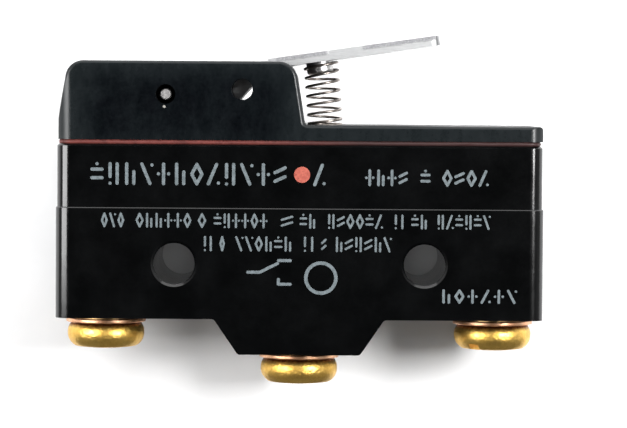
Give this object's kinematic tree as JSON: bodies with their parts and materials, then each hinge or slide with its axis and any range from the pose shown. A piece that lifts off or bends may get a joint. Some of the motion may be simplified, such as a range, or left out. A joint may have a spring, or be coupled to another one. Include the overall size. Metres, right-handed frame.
{
  "type": "limit switch",
  "caption": "Enclosed snap-action limit switch with short hinge lever, coil return spring, sealed plunger housing, through mounting holes and screw terminals",
  "frame": {"origin": "midway between the axes of the two mounting holes, at mid thickness of the case", "axes": "+X along the case towards the lever's free end, +Y from the front face to the rear face along the mounting holes, +Z towards the lever"},
  "size_m": [0.0496, 0.0174, 0.0363],
  "materials": {
    "case_black": "glossy black phenolic moulding",
    "housing_black": "satin blue-black moulding",
    "seal_red": "red silicone",
    "wiper_rubber": "soft black rubber",
    "plunger_plastic": "dark brown moulded plunger",
    "pin_steel": "turned steel",
    "lever_steel": "stainless sheet, sheared edges",
    "spring_steel": "drawn spring wire",
    "screw_brass": "yellow brass, lightly tumbled",
    "washer_copper": "phosphor bronze",
    "terminal_brass": "stamped brass",
    "blade_copper": "beryllium copper leaf",
    "contact_silver": "silver contact faces"
  },
  "bodies": {
    "case": {"lower_case": "case_black", "upper_case": "case_black", "actuator_housing": "housing_black", "seal_gasket": "seal_red", "plunger_seal": "wiper_rubber", "hinge_pin": "pin_steel", "return_spring": "spring_steel", "terminal_screws": "screw_brass", "terminal_washers": "washer_copper", "terminal_bushes": "terminal_brass", "common_terminal": "terminal_brass", "normally_closed_terminal": "terminal_brass", "normally_open_terminal": "terminal_brass", "normally_closed_contact": "contact_silver", "normally_open_contact": "contact_silver", "snap_blade": "blade_copper", "blade_rivets": "terminal_brass", "cover_rivets": "terminal_brass"},
    "lever": {"lever": "lever_steel", "spring_stud": "pin_steel"},
    "plunger": {"plunger": "plunger_plastic"},
    "contact": {"moving_contact": "contact_silver"}
  },
  "joints": [
    {"name": "lever_hinge", "type": "hinge", "parent": "case", "child": "lever", "pos_m": [-0.01363, 0, 0.01717], "axis": [0, 1, 0], "range_deg": [0, 12.5], "stiffness_Nm_per_rad": 0.05, "springref_deg": -22.92, "deforming": ["return_spring"]},
    {"name": "plunger_slide", "type": "slide", "parent": "case", "child": "plunger", "axis": [0, 0, -1], "range_m": [0, 0.00102]},
    {"name": "contact_slide", "type": "slide", "parent": "plunger", "child": "contact", "axis": [0, 0, 1], "range_m": [0, 0.00053], "deforming": ["snap_blade"]}
  ],
  "couplings": [
    {"joint": "plunger_slide", "follows": "lever_hinge", "m_per_rad": 0.00464},
    {"joint": "contact_slide", "follows": "lever_hinge", "m_per_rad": 0.0024}
  ]
}
